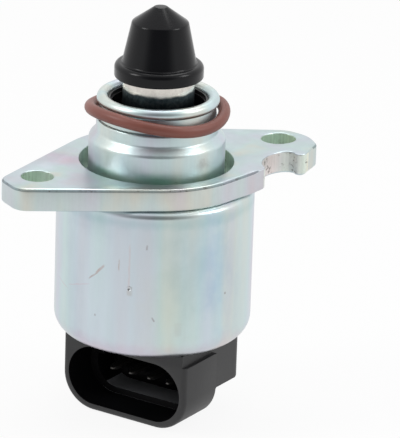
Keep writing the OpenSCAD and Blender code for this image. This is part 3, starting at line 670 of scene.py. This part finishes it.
def beltSpokes(rounds):
    # along the belt: centres, signed radii and the directions that point into the plate
    turnStep, straightStep = flangePlate["steps"]
    inward = []
    for (ax, ay, a), (bx, by, b) in zip(rounds, rounds[1:] + rounds[:1]):
        step = Vector((bx - ax, by - ay))
        rise = max(-1, min(1, (b - a) / step.length))
        inward.append(atan2(step.y, step.x) + pi / 2 - asin(rise))
    spokes = []
    for i, (x, y, radius) in enumerate(rounds):
        start, sweep = inward[i - 1], (inward[i] - inward[i - 1]) % (2 * pi)
        if radius < 0 and sweep:
            sweep -= 2 * pi
        if abs(sweep) > 1.9 * pi:
            sweep = 0
        steps = max(1, round(abs(sweep) / radians(turnStep)))
        for j in range(steps + 1):
            turn = start + sweep * j / steps
            spokes.append((Vector((x, y)), radius, Vector((cos(turn), sin(turn)))))
        nextX, nextY, nextRadius = rounds[(i + 1) % len(rounds)]
        step, into = Vector((nextX - x, nextY - y)), spokes[-1][2]
        grow = nextRadius - radius
        parts = int(sqrt(max(0, step.length_squared - grow ** 2)) / straightStep)
        for j in range(1, parts):
            share = j / parts
            spokes.append((Vector((x, y)) + step * share, radius + grow * share, into))
    return spokes


def makeRound(x, y, radius, depth, steps=96):
    # an upright cylinder in the plate, at a place on the screw line
    deselectAll()
    place = onScrewLine(x, y)
    height = -flangePlate["thickness"] / 2 * mm
    bpy.ops.mesh.primitive_cylinder_add(vertices=steps, radius=radius * mm, depth=depth * mm,
                                        location=(place.x, place.y, height))
    bpy.ops.object.transform_apply(location=True)
    return bpy.context.object


def hullOf(rounds):
    # one solid that is drawn tight round several
    deselectAll()
    for piece in rounds:
        piece.select_set(True)
    bpy.context.view_layer.objects.active = rounds[0]
    if len(rounds) > 1:
        bpy.ops.object.join()
    editAll()
    bpy.ops.mesh.convex_hull()
    bpy.ops.mesh.dissolve_limited(angle_limit=flatAngle)
    bpy.ops.mesh.normals_make_consistent(inside=False)
    bpy.ops.object.mode_set(mode="OBJECT")
    return rounds[0]


def flangeMesh():
    # rings of points round the outline, from the lower face over both edges to the upper face
    f = flangePlate
    thick, rolled, low = f["thickness"], f["rolledEdge"], f["underEdge"]
    spokes = beltSpokes(f["outline"] + notchRounds() + f["ear"])
    levels = arc((low, low - thick), low, 270, 180, 4) + arc((rolled, -rolled), rolled, 180, 90, 7)
    notch, points, count = Vector(f["notch"][:2]), [], len(spokes)
    for inset, level in levels:
        for middle, radius, into in spokes:
            past = (middle - into * radius - notch).length - f["notch"][2] - f["notchHold"]
            far = min(1, max(0, past) / f["notchFade"])
            upper = level > -thick / 2
            soft = f["notchRoll" if upper else "notchUnder"] * (1 - far) + far
            height = level * soft if upper else (level + thick) * soft - thick
            spot = middle - into * (radius - inset * soft)
            points.append(onScrewLine(*spot) + Vector((0, 0, height * mm)))
    faces = [tuple(range(count))[::-1], tuple((len(levels) - 1) * count + i for i in range(count))]
    for ring in range(0, (len(levels) - 1) * count, count):
        for i in range(count):
            here, there = ring + i, ring + (i + 1) % count
            faces.append((here, there, there + count, here + count))
    mesh = bpy.data.meshes.new("stampedFlange")
    mesh.from_pydata(points, [], faces)
    return mesh


def makeFlange():
    f = flangePlate
    deep = f["thickness"] + 2
    flange = bpy.data.objects.new("stampedFlange", flangeMesh())
    bpy.context.collection.objects.link(flange)
    editAll(flange)
    bpy.ops.mesh.remove_doubles(threshold=0.002 * mm)
    bpy.ops.mesh.normals_make_consistent(inside=False)
    bpy.ops.object.mode_set(mode="OBJECT")

    for group in (f["holes"][:1], f["holes"][1:]):
        cutWith(flange, hullOf([makeRound(*entry, deep) for entry in group]))
    cutWith(flange, makeRound(0, -f["lineOffset"], f["noseHole"], deep, 160))

    zones = [(onScrewLine(x, y).to_2d(), radius + f["screwReach"]) for x, y, radius in f["holes"]]
    zones.append((Vector((0, 0)), f["holeReach"]))
    notch = onScrewLine(*f["notch"][:2]).to_2d()

    def inHole(place):
        return any((place.to_2d() - middle).length < reach * mm for middle, reach in zones)

    def isWall(normal):
        return abs(normal.z) < 0.3

    bevelWhere(flange, lambda mid, edge: mid.z > -0.02 * mm and inHole(mid), f["holeEdge"])
    paintWhere(flange, 1, lambda mid, normal: isWall(normal) and not inHole(mid))
    paintWhere(flange, 2, lambda mid, normal: isWall(normal) and inHole(mid))
    # the rolled edge away from the notch gets the darker zinc: painted shade
    paintWhere(flange, 4, lambda mid, normal: 0.2 < normal.z < 0.8 and not inHole(mid)
               and (mid.to_2d() - notch).length > f["rolledFrom"] * mm)
    paintWhere(flange, 3, lambda mid, normal: isWall(normal)
               and (mid.to_2d() - notch).length < f["notchReach"] * mm
               and normal.to_2d().dot(notch - mid.to_2d()) > 0)
    smoothed(flange)
    finishPiece(flange, [zincFlange, zincSheared, zincHole, zincNotch, zincRolledStainsAndShade],
                "housing", "zinc_plate", "mounting_flange")


makeFlange()
print("flange made")


# Nose housing

noseShell = {
    "wall": 0.9, "discTop": -4.1, "discEdge": 15.5, "rimEdge": 16.6, "rimDrop": 1.7,
    "crease": 0.25, "discRound": 0.3, "foot": 1.5, "footInside": 1.3,
    "spigot": 12.05, "spigotTop": 3.95, "shoulder": 1.0, "flare": 0.8, "nose": 10.8,
    "grooveFloor": 10.45, "grooveEnd": 7.85, "grooveRound": 0.5, "grooveCorner": 0.2,
    "bead": 1.0, "beadHeight": 11.3, "beadFrom": -72, "beadTo": 230,
    # the inside: how far its corners lie below the outside ones
    "beadInside": 0.82, "flareInside": 0.4, "shoulderInside": 0.5,
}


def makeNose():
    n = noseShell
    wall, top, spigot, nose = n["wall"], n["discTop"], n["spigot"], n["nose"]
    shoulder, flare, foot, under = n["shoulder"], n["flare"], n["foot"], n["footInside"]
    crease, discRound, ledge, corner = n["crease"], n["discRound"], n["grooveRound"], n["grooveCorner"]
    floor, grooveEnd, rimLow = n["grooveFloor"], n["grooveEnd"], top - n["rimDrop"]
    # the flare leans 45 degrees between its two rounds
    lean, reach = 1 - cos(radians(45)), sin(radians(45))
    flareTop = n["spigotTop"] + (shoulder + flare) * (reach - lean) + spigot - nose
    profile = [(n["rimEdge"], rimLow), (n["rimEdge"], top - wall)]
    profile += arc((n["discEdge"] + crease, top - wall + crease), crease, 270, 180, 3)
    profile += arc((n["discEdge"] - discRound, top - discRound), discRound, 0, 90, 4)
    profile += arc((spigot + foot, top + foot), foot, 270, 180, 8)
    profile += arc((spigot - shoulder, n["spigotTop"]), shoulder, 0, 45, 8)
    profile += arc((nose + flare, flareTop), flare, 225, 180, 6)
    profile += arc((nose - ledge, grooveEnd - ledge), ledge, 0, 90, 5)
    profile += arc((floor + corner, grooveEnd + corner), corner, 270, 180, 3)
    profile += arc((nose - n["bead"], n["beadHeight"]), n["bead"], n["beadFrom"], n["beadTo"], 28)
    # and back down the inside
    profile += [(floor - wall, n["beadHeight"] - n["beadInside"]), (floor - wall, grooveEnd - wall)]
    profile += [(nose - wall, grooveEnd - wall), (nose - wall, flareTop - n["flareInside"])]
    profile += [(spigot - wall, n["spigotTop"] - n["shoulderInside"]), (spigot - wall, top + 0.5)]
    profile += arc((spigot - wall + under, top - wall + under), under, 180, 270, 6)
    profile += [(n["discEdge"] - wall, top - wall), (n["discEdge"] - wall, rimLow)]
    finishPiece(turned("drawnNose", profile, steps=180), [zincNose], "housing", "zinc_plate",
                "nose_housing")


makeNose()
print("nose made")


# O-ring, which hangs wavy in its groove

sealRing = {"major": 11.745, "minor": 1.065, "height": 9.35, "crossView": 33.37,
            # it rises and falls twice round, and sags at the back
            "wave": 0.9, "sag": 1.5, "sagAt": 55, "sagWidth": 35, "shift": (-0.08, -0.05)}


def makeSealRing():
    o = sealRing
    deselectAll()
    bpy.ops.mesh.primitive_torus_add(major_radius=o["major"] * mm, minor_radius=o["minor"] * mm,
                                     major_segments=144, minor_segments=28)
    ring = bpy.context.object
    ring.name = "rubberRing"
    first = radians(o["crossView"])
    for point in ring.data.vertices:
        turn = atan2(point.co.y, point.co.x) - first
        far = (turn - radians(o["sagAt"]) + pi) % (2 * pi) - pi
        wave = o["wave"] * sin(2 * turn) - o["sag"] * exp(-(far / radians(o["sagWidth"])) ** 2)
        point.co.z += (o["height"] + wave) * mm
        point.co.x += o["shift"][0] * mm
        point.co.y += o["shift"][1] * mm
    smoothed(ring)
    finishPiece(ring, [sealRubber], "housing", "red_rubber", "o_ring")


makeSealRing()
print("O-ring made")


# Pintle with its sleeve

pintleCone = {
    "reach": 28.0, "tip": 1.15, "tipEdge": 0.3,
    "cone": 5.0, "coneHeight": 2.8, "taper": 6.55, "taperHeight": 7.3,
    "base": 7.85, "baseThickness": 2.6, "baseEdge": 0.95, "underEdge": 0.3,
    "coneEdge": 0.6, "fillet": 0.35,
    # inside: the part in the sleeve, and the socket for the lead screw and its head
    "spigot": 5.85, "spigotDrop": 2.5, "screw": 1.97, "head": 2.62, "headHeight": 4, "headRise": 0.5,
}


def rounded(before, corner, after, radius, steps=6):
    # points that round a corner of a profile
    a, b, c = (Vector((*p, 0)) for p in (before, corner, after))
    u, v = (a - b).normalized(), (c - b).normalized()
    half = u.angle(v) / 2
    reach = radius / tan(half)
    middle = b + (u + v).normalized() * (radius / sin(half))
    start, end = b + u * reach, b + v * reach
    points = []
    for i in range(steps + 1):
        spoke = (start - middle).normalized().lerp((end - middle).normalized(), i / steps)
        point = middle + spoke.normalized() * radius
        points.append((point.x, point.y))
    return points


def makePintle():
    p = pintleCone
    shoulder = (p["cone"], p["reach"] - p["coneHeight"])
    taperEnd = (p["taper"], shoulder[1] - p["taperHeight"])
    under = taperEnd[1] - p["baseThickness"]
    drop, head = under - p["spigotDrop"], under + p["headRise"]
    tip = (p["tip"], p["reach"])
    profile = [(0, p["reach"])]
    profile += rounded((0, p["reach"]), tip, shoulder, p["tipEdge"], 4)
    profile += rounded(tip, shoulder, taperEnd, p["coneEdge"], 6)
    profile += rounded(shoulder, taperEnd, (p["base"], taperEnd[1]), p["fillet"], 4)
    profile += arc((p["base"] - p["baseEdge"], taperEnd[1] - p["baseEdge"]), p["baseEdge"], 90, 0, 8)
    profile += arc((p["base"] - p["underEdge"], under + p["underEdge"]), p["underEdge"], 0, -90, 5)
    profile += [(p["spigot"], under), (p["spigot"], drop), (p["screw"], drop), (p["screw"], head),
                (p["head"], head), (p["head"], head + p["headHeight"]), (0, head + p["headHeight"])]
    cone = turned("mouldedPintle", profile, closed=False)
    finishPiece(cone, [pintleBlack], "pintle_shaft", "glossy_black", "pintle")


sleeveTube = {
    "radius": 6.3, "wall": 0.45, "top": 15.3, "length": 12, "lowEdge": 0.15, "lowInside": 0.1,
    # the moulding's skirt round its top: a thin ring whose lower edge is torn
    "skirt": ((0.005, 0.05), (0.22, 0.05), (0.22, -0.02), (0.005, -0.1)), "torn": 0.32,
}


def makeSleeve():
    t = sleeveTube
    radius, top = t["radius"], t["top"]
    low, inside = top - t["length"], radius - t["wall"]
    tube = turned("drawnSleeve", [
        (inside, top), (radius, top), (radius, low + t["lowEdge"]), (radius - t["lowEdge"], low),
        (inside + t["lowInside"], low), (inside, low + t["lowInside"])])
    finishPiece(tube, [sleeveMetal], "pintle_shaft", "bright_metal", "pintle_sleeve")
    skirt = turned("pintleFlash", [(radius + out, top + up) for out, up in t["skirt"]])
    for point in skirt.data.vertices:
        if point.co.z < top * mm:
            turn = atan2(point.co.y, point.co.x)
            torn = noise.noise(Vector((cos(turn) * 4, sin(turn) * 4, 0.3)))
            torn += 0.6 * noise.noise(Vector((cos(turn) * 11, sin(turn) * 11, 2.1)))
            point.co.z -= max(0, torn) * t["torn"] * mm
    finishPiece(skirt, [pintleBlack], "pintle_shaft", "glossy_black")


makePintle()
makeSleeve()
print("pintle and sleeve made")


# Connector

connector = {
    "mouthPlane": -8.6, "socketHeight": -40.1, "mouthHalf": (11.95, 5.6),
    # edges: the block's back, round the mouth outside and inside, the body's and the cavity's
    "blockEdge": 1.7, "faceEdge": 0.8, "lipEdge": 0.2, "edge": 0.22, "cavityEdge": 0.12,
    "blockBack": 10.8, "blockLow": -41, "faceTop": -34.2, "bodyTop": -32.2, "cavityDeep": 7.3,
    # faces painted near-black as shade: the wide mouth, and the keyed cavity behind its step
    "stepPlane": -1, "shadeMouth": (11.88, 5.48), "shadeCavity": (11, -4.7, 5.4, 4.3),
    # the key floor, painted lighter as lit: below this height, and this far behind the mouth
    "keyFloor": -43.8, "keyFrom": 6.9,
    "window": (9, 4.5, 8.6),     # in the can: half its width, and from where to where in y
}


def makeConnector():
    c = connector
    body = copyOf("connector_body", "connectorShell")
    middle = Vector((0, c["mouthPlane"], c["socketHeight"])) * mm
    plane = (c["mouthPlane"] + 0.02) * mm

    def facesOut(mid, edge):
        sides = [f.normal for f in edge.link_faces if abs(f.normal.y) < 0.5]
        return bool(sides) and sides[0].dot(mid - middle) > 0

    def inSocket(mid):
        away, half = mid - middle, c["mouthHalf"]
        return abs(away.x) < half[0] * mm and abs(away.z) < half[1] * mm and mid.y > plane

    def inWindow(mid):
        # where the body meets the plate in the can's window
        side, front, back = c["window"]
        return abs(mid.x) < side * mm and front * mm < mid.y < back * mm

    bevelWhere(body, lambda mid, edge: mid.y > c["blockBack"] * mm and mid.z < c["blockLow"] * mm,
               c["blockEdge"], 6)
    bevelWhere(body, lambda mid, edge: mid.y < plane and facesOut(mid, edge)
               and mid.z < c["faceTop"] * mm, c["faceEdge"], 4)
    bevelWhere(body, lambda mid, edge: mid.y < plane, c["lipEdge"])
    bevelWhere(body, lambda mid, edge: not inSocket(mid) and mid.z < c["bodyTop"] * mm
               and not inWindow(mid), c["edge"])
    bevelWhere(body, lambda mid, edge: inSocket(mid)
               and mid.y < (c["mouthPlane"] + c["cavityDeep"]) * mm, c["cavityEdge"], 2)

    def isCavityShade(mid, normal):
        away = (mid - middle) / mm
        outward = normal.x * away.x + normal.z * away.z > 0
        if normal.y > 0.5 or outward and (normal.y > -0.5 or mid.y < plane + 1.5 * mm):
            return False
        if mid.y > c["stepPlane"] * mm:
            side, low, high, back = c["shadeCavity"]
            return abs(away.x) < side and low < away.z < high and mid.y < back * mm
        side, half = c["shadeMouth"]
        return abs(away.x) < side and abs(away.z) < half and mid.y > plane

    def isLitKeyFloor(mid, normal):
        return (isCavityShade(mid, normal) and normal.z > 0.8 and mid.z < c["keyFloor"] * mm
                and mid.y > (c["mouthPlane"] + c["keyFrom"]) * mm)

    # the cavity's faces are painted near-black as shade
    paintWhere(body, 1, isCavityShade)
    # the key floor's faces get the lighter plastic: painted light
    paintWhere(body, 2, isLitKeyFloor)
    smoothed(body)
    finishPiece(body, [connectorGrey, cavityPaintedShade, keyLedgePaintedLight], "housing", "grey_plastic",
                "connector_body")


bladeTip = {"edge": 0.1, "flatten": 0.4}


def makeTerminal(number):
    node = "terminal_%d" % number
    blade = copyOf(node, "blade_%d" % number)
    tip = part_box(node)[0].y
    middle = connector["socketHeight"] * mm
    for point in blade.data.vertices:
        if point.co.y < tip + 0.02 * mm:
            point.co.z = middle + (point.co.z - middle) * bladeTip["flatten"]
    bevelWhere(blade, lambda mid, edge: True, bladeTip["edge"], 2)
    smoothed(blade)
    finishPiece(blade, [terminalTinPaintedShade], "housing", "tin", node)


makeConnector()
for number in range(1, 5):
    makeTerminal(number)
print("connector made")


# Studio: a pale floor, a white background, soft lamps and the camera

studio = {
    "background": 1.0, "worldLight": 0.62, "floorSize": 0.9, "floorGlow": 0.9,
    # the open side of the light tent, towards the camera, is darker in reflections
    "openSide": (33, 22), "openLight": 0.22, "openEdge": (0.55, 0.93),
}
softLamps = {
    # name: (azimuth, elevation, distance, width, height, power)
    "leftSoftbox": (-42, 40, 420, 120, 160, 0.42),
    "rightSoftbox": (112, 38, 420, 120, 160, 0.34),
    "topSoftbox": (200, 66, 420, 260, 200, 0.5),
}
cameraPlace = {
    "azimuth": 33.37,     # degrees round the valve, from the side of the connector's mouth
    "elevation": 19.97,
    "distance": 750,
    "aimHeight": -11.31,
    "roll": 1.66,         # the valve leans a little to the right
    "lens": 348.5,
    "shiftX": 0.1033,
}


def wayTo(azimuth, elevation):
    around, up = radians(azimuth), radians(elevation)
    return Vector((sin(around) * cos(up), -cos(around) * cos(up), sin(up)))


def makeFloor():
    deselectAll()
    bpy.ops.mesh.primitive_plane_add(size=studio["floorSize"],
                                     location=(0, 0, cadBox[0][2] - 0.2 * mm))
    floor = bpy.context.object
    floor.name = "floor"
    material, tree, shader = newMaterial("floorWhite")[:3]
    feed(tree, shader, {"Base Color": (0.85, 0.85, 0.85, 1), "Roughness": 0.9,
                        "Specular IOR Level": 0})
    path = addNode(tree, "LightPath").outputs
    glow = addNode(tree, "Emission", {"Color": (*white, 1), "Strength": studio["background"]})
    seen = calc(tree, "MAXIMUM", path["Is Camera Ray"], path["Is Glossy Ray"])
    share = calc(tree, "MULTIPLY", seen, studio["floorGlow"])
    blend = addNode(tree, "MixShader", {0: share, 1: shader.outputs["BSDF"],
                                        2: glow.outputs["Emission"]})
    feed(tree, tree.nodes["Material Output"], {"Surface": blend.outputs["Shader"]})
    floor.data.materials.append(material)


def makeWorld():
    world = bpy.data.worlds.new("studioWorld")
    world.use_nodes = True
    tree = world.node_tree
    path = addNode(tree, "LightPath").outputs
    direction = addNode(tree, "TexCoord").outputs["Generated"]
    facing = addNode(tree, "VectorMath", {0: direction, 1: wayTo(*studio["openSide"])},
                     operation="DOT_PRODUCT").outputs["Value"]
    tent = ranged(tree, facing, studio["openEdge"], (studio["background"], studio["openLight"]),
                  "SMOOTHSTEP")
    strength = studio["worldLight"]
    for ray, light in (("Is Glossy Ray", tent), ("Is Transmission Ray", studio["background"]),
                       ("Is Camera Ray", studio["background"])):
        step = addNode(tree, "Mix", {"Factor": path[ray], "A": strength, "B": light})
        strength = step.outputs["Result"]
    feed(tree, tree.nodes["Background"], {"Color": (*white, 1), "Strength": strength})
    bpy.context.scene.world = world


def makeLamps():
    for name, (azimuth, elevation, distance, width, height, power) in softLamps.items():
        away = wayTo(azimuth, elevation)
        bpy.ops.object.light_add(type="AREA", location=away * distance * mm)
        lamp = bpy.context.object
        lamp.name = name
        lamp.data.shape = "RECTANGLE"
        lamp.data.size = width * mm
        lamp.data.size_y = height * mm
        lamp.data.energy = power
        lamp.rotation_euler = away.to_track_quat("Z", "Y").to_euler()


def makeCamera():
    place = cameraPlace
    away = wayTo(place["azimuth"], place["elevation"])
    target = Vector((0, 0, place["aimHeight"] * mm))
    bpy.ops.object.camera_add(location=target + away * place["distance"] * mm)
    camera = bpy.context.object
    camera.name = "photoCamera"
    looking = (-away).to_track_quat("-Z", "Y").to_matrix().to_4x4()
    roll = Matrix.Rotation(radians(place["roll"]), 4, "Z")
    camera.matrix_world = Matrix.Translation(camera.location) @ looking @ roll
    camera.data.lens = place["lens"]
    camera.data.sensor_width = 36
    camera.data.shift_x = place["shiftX"]
    camera.data.clip_start = 0.01
    bpy.context.scene.camera = camera
    bpy.context.scene.view_settings.view_transform = "Standard"


makeFloor()
makeWorld()
makeLamps()
makeCamera()
print("studio made")
